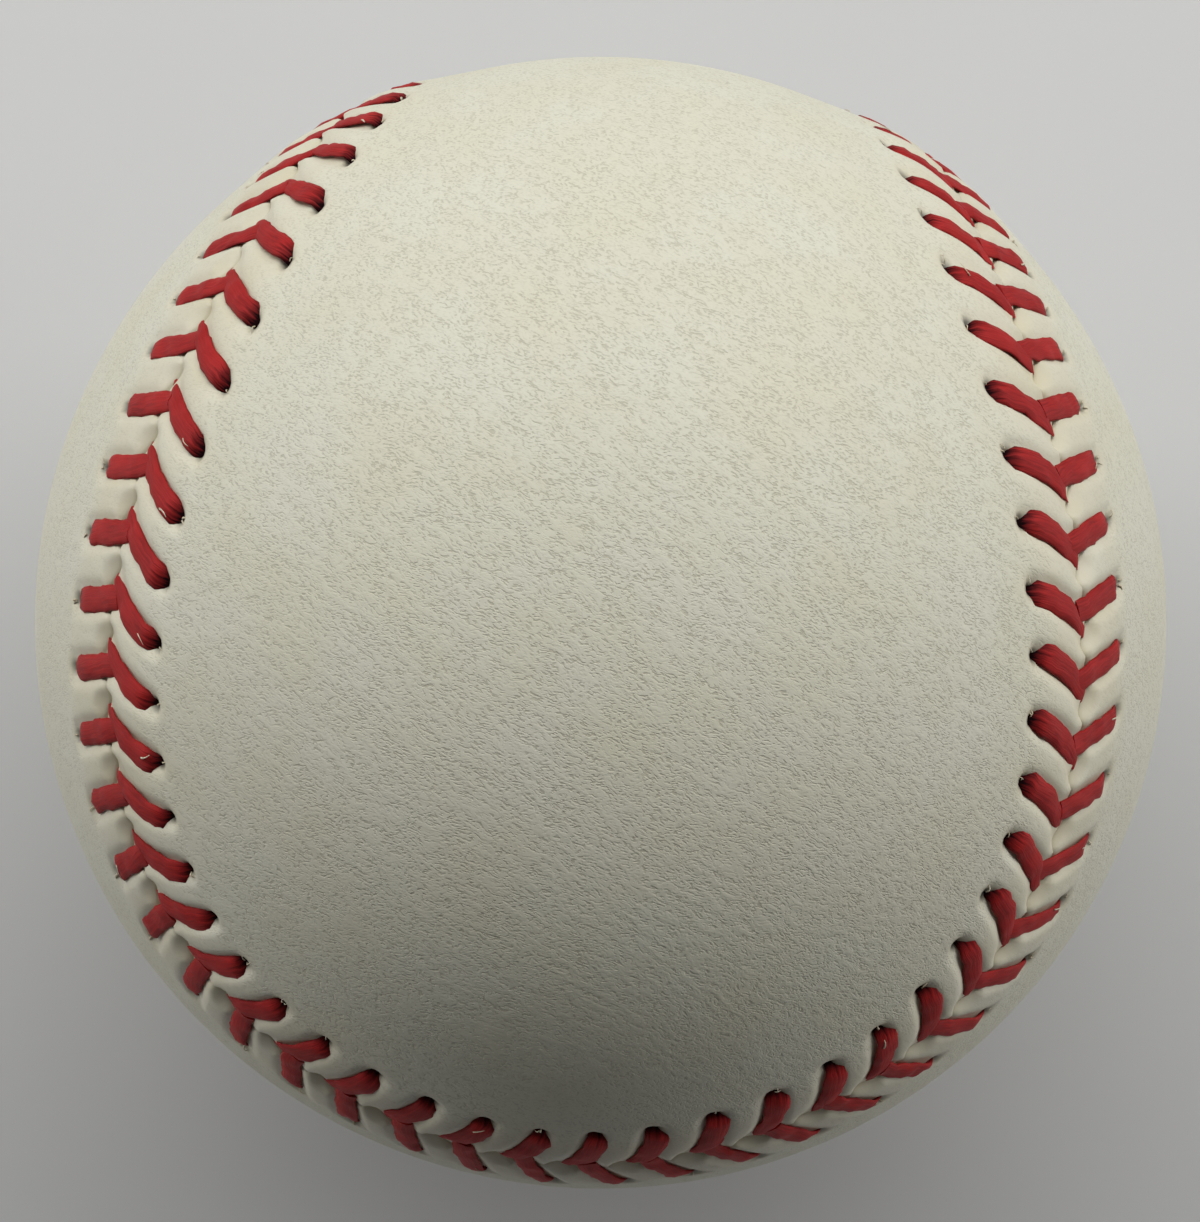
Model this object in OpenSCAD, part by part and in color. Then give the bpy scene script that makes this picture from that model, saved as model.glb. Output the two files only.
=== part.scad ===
// Baseball: a cork and rubber pill, four windings, two sewn leather panels and their red thread.
// Millimetres. The origin is the middle of the ball. +Z goes through the middle of one lobe of
// panel A, whose neck lies on +Y. The necks and the four-fold turn of the seam share the Y axis.

/* [Pill] */
// Diameter of the cork core
cork_d = 20.6; // [16:0.1:24]
// Wall of the black rubber half shells
shell_wall = 4; // [2:0.1:5]
// Thickness of the washer between the half shells
washer_t = 0.8; // [0.4:0.1:2]
// Wall of the red rubber jacket
jacket_wall = 2.4; // [1:0.1:3.5]

/* [Windings] */
// Depth of the first winding, four-ply grey wool
first_depth = 14.6; // [12:0.1:17]
// Depth of the second winding, three-ply white wool
second_depth = 1.8; // [1:0.1:3]
// Depth of the third winding, three-ply grey wool
third_depth = 2.2; // [1:0.1:3]
// Depth of the finish winding, fine white yarn
finish_depth = 0.5; // [0.3:0.1:1]
// Thickness of the rubber-cement film
cement_t = 0.15; // [0.1:0.05:0.3]

/* [Cover] */
// Thickness of the leather
leather_t = 1.25; // [1:0.05:1.6]
// Straight distance across a panel's neck, from seam to seam
neck_w = 32.6; // [28:0.1:36]
// How far the seam swings out to round a lobe, in degrees
lobe_swing = 21.5; // [17:0.5:25]
// Room between the cement film and the leather
glue_gap = 0.02; // [0.01:0.01:0.05]
// Gap between the two panels' edges
seam_gap = 0.2; // [0.1:0.05:0.5]

/* [Stitches] */
// Number of double stitches round the seam
stitches = 108; // [60:4:112]
// Place of the first stitch along the seam, as a share of one stitch
first_stitch = 0.07; // [0:0.01:1]
// Distance of a stitch hole from the seam, at the foot of the hole
hole_setback = 5.4; // [4.5:0.1:6]
// How far a hole lies ahead of its stitch's place on the seam
hole_lead = 3.2; // [2:0.1:3.8]
// How far a leg has crossed the seam line where it meets the cement film
dive_reach = 0.9; // [0.6:0.05:1.2]
// How far panel B's legs dive ahead of panel A's
dive_stagger = 2.15; // [2:0.05:2.3]
// Diameter of the waxed thread
thread_d = 1.2; // [0.8:0.05:1.3]
// Height of the thread's middle line over the leather, at the top of a leg
leg_rise = 0.2; // [0:0.05:0.3]
// Room round the thread in its groove and hole
thread_room = 0.06; // [0.03:0.01:0.1]

/* [Hidden] */
$fn = 96;

// Radii, built up from the core to the leather
cork_r = cork_d / 2;
shell_r = cork_r + shell_wall;
jacket_r = shell_r + jacket_wall;
first_r = jacket_r + first_depth;
second_r = first_r + second_depth;
third_r = second_r + third_depth;
finish_r = third_r + finish_depth;
cement_r = finish_r + cement_t;
flesh_r = cement_r + glue_gap;
cover_r = flesh_r + leather_t;

// Seam line on the unit sphere: one turn of the seam is 720 degrees of its own angle
seam_turn = 720;
neck_angle = asin(neck_w / 2 / cover_r);
seam_reach = 90 - neck_angle;
function seam_lat(a) = seam_reach * cos(a);
function seam_lon(a) = a / 2 + lobe_swing * sin(2 * a);
function seam_dir(a) = let (lat = seam_lat(a), lon = seam_lon(a))
    [cos(lat) * cos(lon), sin(lat), -cos(lat) * sin(lon)];

// Seam angle against distance along the seam, so that stitches can be evenly spaced
seam_samples = 1440;
seam_step = seam_turn / seam_samples;
function seam_chord(i) = cover_r * norm(seam_dir((i + 1) * seam_step) - seam_dir(i * seam_step));
seam_table = [for (i = 0, s = 0; i <= seam_samples; s = s + seam_chord(i), i = i + 1) [s, i * seam_step]];
seam_length = seam_table[seam_samples][0];
stitch_pitch = seam_length / stitches;
function wrap(s) = s - seam_length * floor(s / seam_length);
function seam_angle(s) = lookup(wrap(s), seam_table);

// A direction on the sphere: along the seam by s, and sideways from it by an arc length
function unit(v) = v / norm(v);
function along(a) = unit(seam_dir(a + seam_step) - seam_dir(a - seam_step));
function beside(a, side) = let (turn = side / cover_r * 180 / PI, p = seam_dir(a))
    cos(turn) * p + sin(turn) * cross(p, along(a));
function spot(s, side) = beside(seam_angle(s), side);

// Each panel is cut by a cone from the middle of the ball through the panel's edge. The cone's cap
// stays outside the leather: its rows start on one half of the edge and cross to the mirrored half.
edge_steps = stitches;
cap_steps = 4;
cap_r = 1.3 * cover_r;
edge_half = seam_length / 4;
function edge_dir(i) = spot(edge_half * (2 * i / edge_steps - 1), seam_gap / 2);
function cap_dir(i, j) = let (e = edge_dir(i)) unit([e[0] * (1 - 2 * j / cap_steps), e[1], e[2]]);
edge_rows = [1:edge_steps - 1];
cap_row = cap_steps + 1;
cone_tip = 1 + (edge_steps - 1) * cap_row;
function cone_at(i, j) =
    i == 0 ? cone_tip :
    i == edge_steps ? cone_tip + 1 :
    1 + (i - 1) * cap_row + j;
cone_points = [
    [0, 0, 0],
    for (i = edge_rows) for (j = [0:cap_steps]) cap_r * cap_dir(i, j),
    cap_r * edge_dir(0),
    cap_r * edge_dir(edge_steps)
];
cone_faces = [
    for (i = [0:edge_steps - 1]) each [
        [0, cone_at(i, 0), cone_at(i + 1, 0)],
        [0, cone_at(i + 1, cap_steps), cone_at(i, cap_steps)],
        for (j = [0:cap_steps - 1]) each concat(
            i == 0 ? [] : [[cone_at(i, j), cone_at(i, j + 1), cone_at(i + 1, j)]],
            i == edge_steps - 1 ? [] : [[cone_at(i + 1, j), cone_at(i, j + 1), cone_at(i + 1, j + 1)]]
        )
    ]
];

// Panel B is the same blank, turned over about a point of the seam
turn_over_axis = [1, 0, -1];

module layer(outer, inner) {
    difference() {
        sphere(outer);
        sphere(inner);
    }
}

module slab(low, high) {
    translate([-shell_r, -shell_r, low]) cube([2 * shell_r, 2 * shell_r, high - low]);
}

module shell_part(low, high) {
    intersection() {
        layer(shell_r, cork_r);
        slab(low, high);
    }
}

// One leg of a stitch: an arc of thread that rises from its hole, lies half sunk in the leather of its
// own side, and dives through the seam to the foot of the other panel's edge. Side is 1 for panel A
// and -1 for panel B.
module leg(number, side, d) {
    place = (number + first_stitch) * stitch_pitch;
    foot = spot(place + hole_lead, side * hole_setback);
    dive = spot(place - side * dive_stagger / 2, -side * dive_reach);
    up = unit(foot + dive);
    ahead = unit(foot - dive);
    half = cement_r * norm(foot - dive) / 2;
    top = cover_r + leg_rise;
    drop = top - cement_r * norm(foot + dive) / 2;
    bend_r = (half * half + drop * drop) / (2 * drop);
    middle = up * (top - bend_r);
    across = cross(up, ahead);
    sweep = 2 * (asin(half / bend_r) + d / bend_r * 180 / PI);
    multmatrix([for (k = [0:2]) [up[k], ahead[k], across[k], middle[k]]])
        rotate(-sweep / 2)
            rotate_extrude(angle = sweep) translate([bend_r, 0]) circle(d / 2);
}

module thread(first_side) {
    difference() {
        for (number = [0:stitches - 1]) leg(number, number % 2 == 0 ? first_side : -first_side, thread_d);
        sphere(cement_r);
    }
}

// A panel before its holes are punched. Turning the shell over keeps its poles out of the panel.
module blank() {
    intersection() {
        rotate(180, turn_over_axis) layer(cover_r, flesh_r);
        polyhedron(cone_points, cone_faces);
    }
}

module panel(side) {
    difference() {
        rotate(side > 0 ? 0 : 180, turn_over_axis) blank();
        for (number = [0:stitches - 1]) for (leg_side = [1, -1])
            leg(number, leg_side, thread_d + 2 * thread_room);
    }
}

module cork_core() {
    color("burlywood") sphere(cork_r);
}

module core_shell_upper() {
    color("dimgray") shell_part(washer_t / 2, shell_r);
}

module core_shell_lower() {
    color("dimgray") shell_part(-shell_r, -washer_t / 2);
}

module core_washer() {
    color("firebrick") shell_part(-washer_t / 2, washer_t / 2);
}

module pill_jacket() {
    color("indianred") layer(jacket_r, shell_r);
}

module first_winding() {
    color("gray") layer(first_r, jacket_r);
}

module second_winding() {
    color("whitesmoke") layer(second_r, first_r);
}

module third_winding() {
    color("silver") layer(third_r, second_r);
}

module finish_winding() {
    color("ivory") layer(finish_r, third_r);
}

module cement_coat() {
    color("wheat") layer(cement_r, finish_r);
}

module cover_panel_a() {
    color("linen") panel(1);
}

module cover_panel_b() {
    color("linen") panel(-1);
}

module thread_needle_one() {
    color("brown") thread(1);
}

module thread_needle_two() {
    color("brown") thread(-1);
}

cork_core();
core_shell_upper();
core_shell_lower();
core_washer();
pill_jacket();
first_winding();
second_winding();
third_winding();
finish_winding();
cement_coat();
cover_panel_a();
cover_panel_b();
thread_needle_one();
thread_needle_two();
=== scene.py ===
"""Dresses a stitched ball: leather panels, red stitches, the layers inside, and a plain stage."""

import math

import bmesh
import bpy
import numpy as np
from mathutils import Matrix, Vector
from mathutils.geometry import delaunay_2d_cdt


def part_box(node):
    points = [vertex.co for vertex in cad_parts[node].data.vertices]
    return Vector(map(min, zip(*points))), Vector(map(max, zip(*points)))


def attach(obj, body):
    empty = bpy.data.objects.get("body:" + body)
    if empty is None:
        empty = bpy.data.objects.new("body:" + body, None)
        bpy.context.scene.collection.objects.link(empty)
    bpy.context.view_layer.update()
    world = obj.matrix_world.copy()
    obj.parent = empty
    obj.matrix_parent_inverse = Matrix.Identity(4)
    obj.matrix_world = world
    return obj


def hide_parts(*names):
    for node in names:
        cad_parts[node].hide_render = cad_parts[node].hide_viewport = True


bl_info = {
    "name": "Stitched Ball",
    "version": (1, 0, 0),
    "blender": (4, 5, 0),
    "location": "View3D > Sidebar > Ball",
    "description": "Leather panels, red stitches, inner layers and stage of a stitched ball",
    "category": "Object",
}

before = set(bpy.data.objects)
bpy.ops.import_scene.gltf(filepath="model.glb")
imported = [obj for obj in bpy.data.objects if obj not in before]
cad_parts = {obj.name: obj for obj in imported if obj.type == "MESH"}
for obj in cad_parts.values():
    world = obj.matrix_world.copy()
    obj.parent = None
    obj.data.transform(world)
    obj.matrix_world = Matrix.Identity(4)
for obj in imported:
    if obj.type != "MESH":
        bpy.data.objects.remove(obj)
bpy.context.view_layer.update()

MM = 0.001
BODY = "root"

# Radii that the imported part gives, and the room that it leaves under the leather
COVER_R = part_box("cover_panel_a")[1].z
CEMENT_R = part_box("cement_coat")[1].z
GLUE_GAP = 0.02 * MM
FLESH_R = CEMENT_R + GLUE_GAP

# The photograph's frame, and where the middle of the ball lies in it
PHOTO_W = 1200
PHOTO_H = 1222
BALL_PIXEL = (600.7, 622.6)
SENSOR = 36.0
CLIP_START = 5 * MM

# The picture's two directions, and the directions of the lamps from the middle of the ball
CAMERA_RIGHT = Vector((0.9967, 0.0809, 0.0057))
CAMERA_UP = Vector((-0.0811, 0.9908, 0.1088))
KEY_DIRECTION = Vector((-0.006, 0.593, 0.805))
SIDE_DIRECTIONS = (Vector((-0.98, 0.02, 0.1)), Vector((0.98, 0.02, 0.1)))
LAMP_DISTANCE = 0.3

# The floor, and where it starts and ends fading to the backdrop
FLOOR_R = 3.0
FLOOR_SIDES = 96
FADE_START = 0.1
FADE_END = 0.32

# How finely a panel is meshed. Some rows take only every second or fourth column of points
SEAM_SAMPLES = 5760
COLUMNS_PER_STITCH = 16
CREASE_ROWS = (0.0, 0.04 * MM, 0.1 * MM, 0.18 * MM)
FINE_STEP = 0.25 * MM
BAND_W = 6.0 * MM
ROWS_PAST_BAND = ((0.6 * MM, 2), (1.4 * MM, 2), (2.4 * MM, 4))
UNDERSIDE_ROWS = ((0.1 * MM, 1), (1.2 * MM, 2), (3.2 * MM, 4))
MIDDLE_SPACING = 1.1 * MM
UNDERSIDE_SPACING = 3.0 * MM

# Points spread over a panel's middle: area of one, room to the edge, and how far the flat map holds
CELL_AREA = 0.866
EDGE_ROOM = 0.7
MAP_LIMIT = 0.9

# A panel's edge: half the gap, the swell's place in a stitch and how far in it reaches
HALF_GAP = 0.05 * MM
SWELL_PLACE = 0.36
SWELL_FADE = 1.2 * MM

# What is left to chance on a panel: the spread of its pillows' heights, and its seed
PILLOW_SPREAD = 0.12
PANEL_SEEDS = {1: 7, -1: 11}

# How far relief and stains reach from a leg, a hole or the seam, and how strong the stains are
LEG_SAMPLES = 40
PILLOW_FADE = (2.4 * MM, 5.4 * MM)
RAISE_FADE = (2.5 * MM, 8.2 * MM)
PRESS_FADE = (-0.3 * MM, 0.5 * MM)
PUFF_REACH = 1.0 * MM
PRESS_REACH = 0.85 * MM
BAND_STAIN = 0.45
LEG_STAIN = 0.4
LEG_STAIN_REACH = 1.1 * MM
SEAM_STAIN = 0.15
SEAM_STAIN_REACH = 1.5 * MM
HOLE_STAIN = 0.8
HOLE_STAIN_REACH = 0.9 * MM
# Reach of the painted shade in a stitch hole, as a share of the hole's radius
HOLE_SHADE_SHARE = 1.25

# Torn flakes of leather: on the rims of the holes, and loose ones on the thread
FLAKE_RINGS = 4
FLAKE_SIDES = 4
FLAKE_WIDTH = (0.04 * MM, 0.09 * MM)
FLAKE_THICKNESS = 0.04 * MM
FLAKE_TAPER = 0.7
FLAKE_CURL = 0.5
FLAKE_TONE = (0.3, 1.0)
RIM_FLAKES_MOST = 2
RIM_TURNS = (0.05 * math.pi, 0.8 * math.pi)
RIM_LENGTH = (0.25 * MM, 0.55 * MM)
RIM_LIFT = (0.05 * MM, 0.2 * MM)
RIM_R = 0.2 * MM
RIM_HEIGHT = 0.05 * MM
LOOSE_SHARE = 0.15
LOOSE_TURNS = (0.1 * math.pi, 0.6 * math.pi)
LOOSE_LENGTH = (0.6 * MM, 1.0 * MM)
LOOSE_BEHIND = 0.25 * MM
LOOSE_INWARD = (0.8 * MM, 1.2 * MM)
LOOSE_SUNK = 0.03 * MM
LOOSE_LIFT = 0.04 * MM

# Seeds of the uneven legs, and the sizes that one leg of thread takes
THREAD_SEEDS = {1: 5, -1: 9}
LEG_INPUTS = (
    "Hole Ahead", "Hole Aside", "Bend Ahead", "Bend Aside", "Tail Ahead", "Tail Aside",
    "Rise", "Foot Depth", "Tail Depth", "Width", "Thickness", "Blunt", "Ball Radius",
)


class SeamSettings(bpy.types.PropertyGroup):
    """The line where the panels meet, and the places of its stitches."""

    neck_width: bpy.props.FloatProperty(
        name="Neck width",
        description="Straight distance across a panel's neck, from seam to seam",
        default=32.6 * MM,
        subtype="DISTANCE",
    )
    lobe_swing: bpy.props.FloatProperty(
        name="Lobe swing",
        description="How far the seam swings out to round a lobe",
        default=math.radians(21.5),
        subtype="ANGLE",
    )
    stitches: bpy.props.IntProperty(
        name="Stitches",
        description="Number of double stitches round the seam",
        default=108,
    )
    first_stitch: bpy.props.FloatProperty(
        name="First stitch",
        description="Place of the first stitch along the seam, as a share of one stitch",
        default=0.07,
    )
    hole_a: bpy.props.FloatVectorProperty(
        name="Hole in panel A",
        description="Where a leg on panel A leaves its hole: ahead of its place on the seam, and aside",
        default=(2.92 * MM, 4.75 * MM),
        size=2,
        unit="LENGTH",
    )
    hole_b: bpy.props.FloatVectorProperty(
        name="Hole in panel B",
        description="Where a leg on panel B leaves its hole: ahead of its place on the seam, and aside",
        default=(2.55 * MM, 4.2 * MM),
        size=2,
        unit="LENGTH",
    )
    quarter_sway_a: bpy.props.FloatProperty(
        name="Quarter sway on panel A",
        description="How much further ahead panel A's holes lie, then less far, in each quarter of the seam",
        default=0.82 * MM,
        subtype="DISTANCE",
    )
    quarter_start_a: bpy.props.FloatProperty(
        name="Quarter sway's start on panel A",
        description="Stitch at which panel A's quarter sway starts",
        default=2.0,
    )
    half_sway_a: bpy.props.FloatProperty(
        name="Half sway on panel A",
        description="How much further ahead panel A's holes lie, then less far, in each half of the seam",
        default=0.3 * MM,
        subtype="DISTANCE",
    )
    half_peak_a: bpy.props.FloatProperty(
        name="Half sway's peak on panel A",
        description="Stitch at which panel A's half sway is widest",
        default=62.0,
    )
    half_sway_b: bpy.props.FloatProperty(
        name="Half sway on panel B",
        description="How much further ahead panel B's holes lie, then less far, in each half of the seam",
        default=0.9 * MM,
        subtype="DISTANCE",
    )
    half_peak_b: bpy.props.FloatProperty(
        name="Half sway's peak on panel B",
        description="Stitch at which panel B's half sway is widest",
        default=83.0,
    )
    bend_a: bpy.props.FloatVectorProperty(
        name="Bend on panel A",
        description="Where a leg on panel A bends: ahead of its place on the seam, and aside",
        default=(1.9 * MM, 1.3 * MM),
        size=2,
        unit="LENGTH",
    )
    bend_b: bpy.props.FloatVectorProperty(
        name="Bend on panel B",
        description="Where a leg on panel B bends: ahead of its place on the seam, and aside",
        default=(2.05 * MM, 1.6 * MM),
        size=2,
        unit="LENGTH",
    )
    tip_a: bpy.props.FloatVectorProperty(
        name="Tip on panel A",
        description="Where a leg on panel A goes into the seam: ahead of its place, and aside",
        default=(0.15 * MM, 0.05 * MM),
        size=2,
        unit="LENGTH",
    )
    tip_b: bpy.props.FloatVectorProperty(
        name="Tip on panel B",
        description="Where a leg on panel B goes into the seam: ahead of its place, and aside",
        default=(1.45 * MM, -0.85 * MM),
        size=2,
        unit="LENGTH",
    )


class LeatherSettings(bpy.types.PropertyGroup):
    """Relief and colours of the cover leather."""

    seam_raise: bpy.props.FloatProperty(
        name="Seam raise",
        description="How far the thread runs under the leather lift it beside the seam",
        default=0.26 * MM,
        subtype="DISTANCE",
    )
    pillow_a: bpy.props.FloatProperty(
        name="Pillow of panel A",
        description="Height of panel A's leather that puffs up between two legs",
        default=0.15 * MM,
        subtype="DISTANCE",
    )
    pillow_b: bpy.props.FloatProperty(
        name="Pillow of panel B",
        description="Height of panel B's leather that puffs up between two legs",
        default=0.1 * MM,
        subtype="DISTANCE",
    )
    press: bpy.props.FloatProperty(
        name="Press",
        description="How deep a leg presses into the leather",
        default=0.22 * MM,
        subtype="DISTANCE",
    )
    edge_round_a: bpy.props.FloatProperty(
        name="Edge round of panel A",
        description="Radius of panel A's rolled edge in the seam",
        default=0.26 * MM,
        subtype="DISTANCE",
    )
    edge_round_b: bpy.props.FloatProperty(
        name="Edge round of panel B",
        description="Radius of panel B's rolled edge in the seam",
        default=0.5 * MM,
        subtype="DISTANCE",
    )
    edge_wave: bpy.props.FloatProperty(
        name="Edge wave",
        description="How far panel A's edge swells over the seam between two stitches",
        default=0.4 * MM,
        subtype="DISTANCE",
    )
    hole_depth: bpy.props.FloatProperty(
        name="Hole depth",
        description="Depth of the pit at a stitch hole",
        default=0.4 * MM,
        subtype="DISTANCE",
    )
    hole_radius_a: bpy.props.FloatProperty(
        name="Hole radius on panel A",
        description="How far the leather sinks round a stitch hole of panel A",
        default=0.36 * MM,
        subtype="DISTANCE",
    )
    hole_radius_b: bpy.props.FloatProperty(
        name="Hole radius on panel B",
        description="How far the leather sinks round a stitch hole of panel B",
        default=0.28 * MM,
        subtype="DISTANCE",
    )
    colour: bpy.props.FloatVectorProperty(
        name="Leather",
        description="Colour of the clean leather",
        default=(0.70, 0.686, 0.568),
        size=3,
        subtype="COLOR",
    )
    stain: bpy.props.FloatVectorProperty(
        name="Stain",
        description="Colour of the leather where wax has stained it beside the stitches",
        default=(0.63, 0.56, 0.385),
        size=3,
        subtype="COLOR",
    )


class ThreadSettings(bpy.types.PropertyGroup):
    """Size and colour of the waxed thread."""

    width: bpy.props.FloatProperty(
        name="Width",
        description="Width of a leg at its widest",
        default=1.48 * MM,
        subtype="DISTANCE",
    )
    thickness: bpy.props.FloatProperty(
        name="Thickness",
        description="Thickness of a leg at its widest",
        default=0.4 * MM,
        subtype="DISTANCE",
    )
    rise_a: bpy.props.FloatProperty(
        name="Rise on panel A",
        description="Height of the middle line of a leg on panel A over the round of the ball",
        default=0.22 * MM,
        subtype="DISTANCE",
    )
    rise_b: bpy.props.FloatProperty(
        name="Rise on panel B",
        description="Height of the middle line of a leg on panel B over the round of the ball",
        default=0.17 * MM,
        subtype="DISTANCE",
    )
    foot_depth: bpy.props.FloatProperty(
        name="Foot depth",
        description="How far a leg sinks at its hole",
        default=1.0 * MM,
        subtype="DISTANCE",
    )
    tail_depth_a: bpy.props.FloatProperty(
        name="Tail depth on panel A",
        description="How far the tail of a leg on panel A sinks at the seam",
        default=0.3 * MM,
        subtype="DISTANCE",
    )
    tail_depth_b: bpy.props.FloatProperty(
        name="Tail depth on panel B",
        description="How far the tail of a leg on panel B sinks at the seam",
        default=0.05 * MM,
        subtype="DISTANCE",
    )
    unevenness: bpy.props.FloatProperty(
        name="Unevenness",
        description="How far hand-sewn legs turn from the even place",
        default=math.radians(2),
        subtype="ANGLE",
    )
    fuzz: bpy.props.FloatProperty(
        name="Fuzz",
        description="How far the thread's surface strays from its even shape",
        default=0.4 * MM,
        subtype="DISTANCE",
    )
    colour: bpy.props.FloatVectorProperty(
        name="Thread",
        description="Colour of the waxed thread",
        default=(0.37, 0.0165, 0.0155),
        size=3,
        subtype="COLOR",
    )


class StageSettings(bpy.types.PropertyGroup):
    """Camera, lamps and floor."""

    camera_distance: bpy.props.FloatProperty(
        name="Camera distance",
        description="Distance of the camera from the middle of the ball",
        default=128.9 * MM,
        subtype="DISTANCE",
    )
    camera_pixels: bpy.props.FloatProperty(
        name="Focal length",
        description="Focal length in pixels of the photograph",
        default=1877.0,
    )
    key_power: bpy.props.FloatProperty(
        name="Key power",
        description="Power of the key lamp",
        default=2.42,
        subtype="POWER",
    )
    key_width: bpy.props.FloatProperty(
        name="Key width",
        description="Width of the key lamp, across the picture",
        default=1.35,
        subtype="DISTANCE",
    )
    key_depth: bpy.props.FloatProperty(
        name="Key depth",
        description="Depth of the key lamp, from the camera to the back",
        default=0.13,
        subtype="DISTANCE",
    )
    side_power: bpy.props.FloatProperty(
        name="Side power",
        description="Power of each weak lamp at the sides",
        default=0.13,
    )
    side_width: bpy.props.FloatProperty(
        name="Side width",
        description="Width of each lamp at the sides",
        default=0.2,
        subtype="DISTANCE",
    )
    side_height: bpy.props.FloatProperty(
        name="Side height",
        description="Height of each lamp at the sides",
        default=0.08,
        subtype="DISTANCE",
    )
    fill: bpy.props.FloatProperty(
        name="Fill",
        description="Strength of the light from all round",
        default=0.02,
    )
    floor_colour: bpy.props.FloatVectorProperty(
        name="Floor",
        description="Colour of the plain floor",
        default=(0.635, 0.635, 0.628),
        size=3,
        subtype="COLOR",
    )
    backdrop_colour: bpy.props.FloatVectorProperty(
        name="Backdrop",
        description="Colour that the floor fades to far from the ball",
        default=(0.6, 0.6, 0.593),
        size=3,
        subtype="COLOR",
    )

class Seam:
    """The seam line on the cover, measured along its length, and places beside it."""

    def __init__(self, seam):
        self.settings = seam
        self.reach = math.pi / 2 - math.asin(seam.neck_width / 2 / COVER_R)
        self.swing = seam.lobe_swing
        self.turns = np.linspace(0, 4 * math.pi, SEAM_SAMPLES + 1)
        steps = np.linalg.norm(np.diff(self.direction(self.turns), axis=0), axis=1)
        self.along = np.concatenate([[0], np.cumsum(steps)]) * COVER_R
        self.length = self.along[-1]
        self.pitch = self.length / seam.stitches
        self.first = seam.first_stitch * self.pitch

    def direction(self, turn):
        """Unit vectors from the middle of the ball to the seam."""
        lat = self.reach * np.cos(turn)
        lon = turn / 2 + self.swing * np.sin(2 * turn)
        return np.stack([np.cos(lat) * np.cos(lon), np.sin(lat), -np.cos(lat) * np.sin(lon)], axis=-1)

    def axes(self, s):
        """Outward, ahead and aside unit vectors at distances s. Aside points into panel A."""
        turn = np.interp(np.mod(s, self.length), self.along, self.turns)
        step = self.turns[1]
        outward = self.direction(turn)
        ahead = self.direction(turn + step) - self.direction(turn - step)
        ahead /= np.linalg.norm(ahead, axis=-1, keepdims=True)
        return outward, ahead, np.cross(outward, ahead)

    def sway(self, s, side):
        """How much further ahead than usual a panel's holes lie, for stitches at distances s."""
        seam = self.settings
        stitch_turn = 2 * math.pi / seam.stitches
        number = s / self.pitch
        if side < 0:
            return seam.half_sway_b * np.cos(2 * stitch_turn * (number - seam.half_peak_b))
        quarter = np.sin(4 * stitch_turn * (number - seam.quarter_start_a))
        half = np.cos(2 * stitch_turn * (number - seam.half_peak_a))
        return seam.quarter_sway_a * quarter + seam.half_sway_a * half

    def spot(self, s, aside):
        """Unit vectors to places at distance s along the seam and aside from it."""
        outward, _, side = self.axes(s)
        angle = (np.asarray(aside) / COVER_R)[..., None]
        return np.cos(angle) * outward + np.sin(angle) * side


def of_side(group, name, side):
    """The setting of that name for panel A or, where side is -1, for panel B."""
    return getattr(group, name + ("_a" if side > 0 else "_b"))


def leg_plan(seam, side):
    """Hole, bend and tip of a leg on the leather: (ahead, aside) from the stitch's place on the seam."""
    return [tuple(of_side(seam, name, side)) for name in ("hole", "bend", "tip")]


def smooth(low, high, x):
    """0 below low, 1 above high, with an even ease between them."""
    t = np.clip((x - low) / (high - low), 0, 1)
    return t * t * (3 - 2 * t)


def bell(distance, reach, power=2):
    """1 at no distance and nearly 0 well past the reach. A higher power has a flatter top."""
    return np.exp(-((distance / reach) ** power))


def bezier(points, t):
    """Points at t on a quadratic curve."""
    a, b, c = (np.array(p)[None] for p in points)
    t = t[:, None]
    return (1 - t) ** 2 * a + 2 * t * (1 - t) * b + t * t * c


def leather_relief(settings, pitch, side, ahead, ahead_other, aside):
    """Height over the ball, wax stain and painted shade in the stitch hole at places given from a stitch of
    each side.
    """
    leather = settings.leather
    share = np.linspace(0, 1, LEG_SAMPLES)
    own = bezier(leg_plan(settings.seam, side), share)
    other = bezier(leg_plan(settings.seam, -side), share) * (1, -1)
    nearest = np.full(ahead.shape, np.inf)
    hole = np.full(ahead.shape, np.inf)
    for shift in range(-2, 3):
        for level, curve in ((ahead, own), (ahead_other, other)):
            for x, y in curve:
                nearest = np.minimum(nearest, np.hypot(level - x - shift * pitch, aside - y))
        x, y = own[1]
        hole = np.minimum(hole, np.hypot(ahead - x - shift * pitch, aside - y))

    fade = 1 - smooth(*PILLOW_FADE, aside)
    puff = 1 - bell(nearest, PUFF_REACH, 4)
    height = leather.seam_raise * (1 - smooth(*RAISE_FADE, aside))
    height = height + of_side(leather, "pillow", side) * fade * puff
    leg_end = own[0][1]
    under_leg = 1 - smooth(leg_end + PRESS_FADE[0], leg_end + PRESS_FADE[1], aside)
    height = height - leather.press * bell(nearest, PRESS_REACH, 4) * under_leg
    roll = of_side(leather, "edge_round", side)
    lip = np.clip(roll - aside, 0, roll)
    height = height - (roll - np.sqrt(roll ** 2 - lip ** 2))
    hole_radius = of_side(leather, "hole_radius", side)
    height = height - leather.hole_depth * bell(hole, hole_radius)

    stain = fade * (BAND_STAIN + LEG_STAIN * bell(nearest, LEG_STAIN_REACH))
    stain = stain + SEAM_STAIN * (1 - smooth(0, SEAM_STAIN_REACH, aside))
    stain = np.maximum(stain, HOLE_STAIN * bell(hole, HOLE_STAIN_REACH))
    # The last value is the share of painted shade in and round the stitch hole
    return height, stain, bell(hole, HOLE_SHADE_SHARE * hole_radius, 4)


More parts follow.
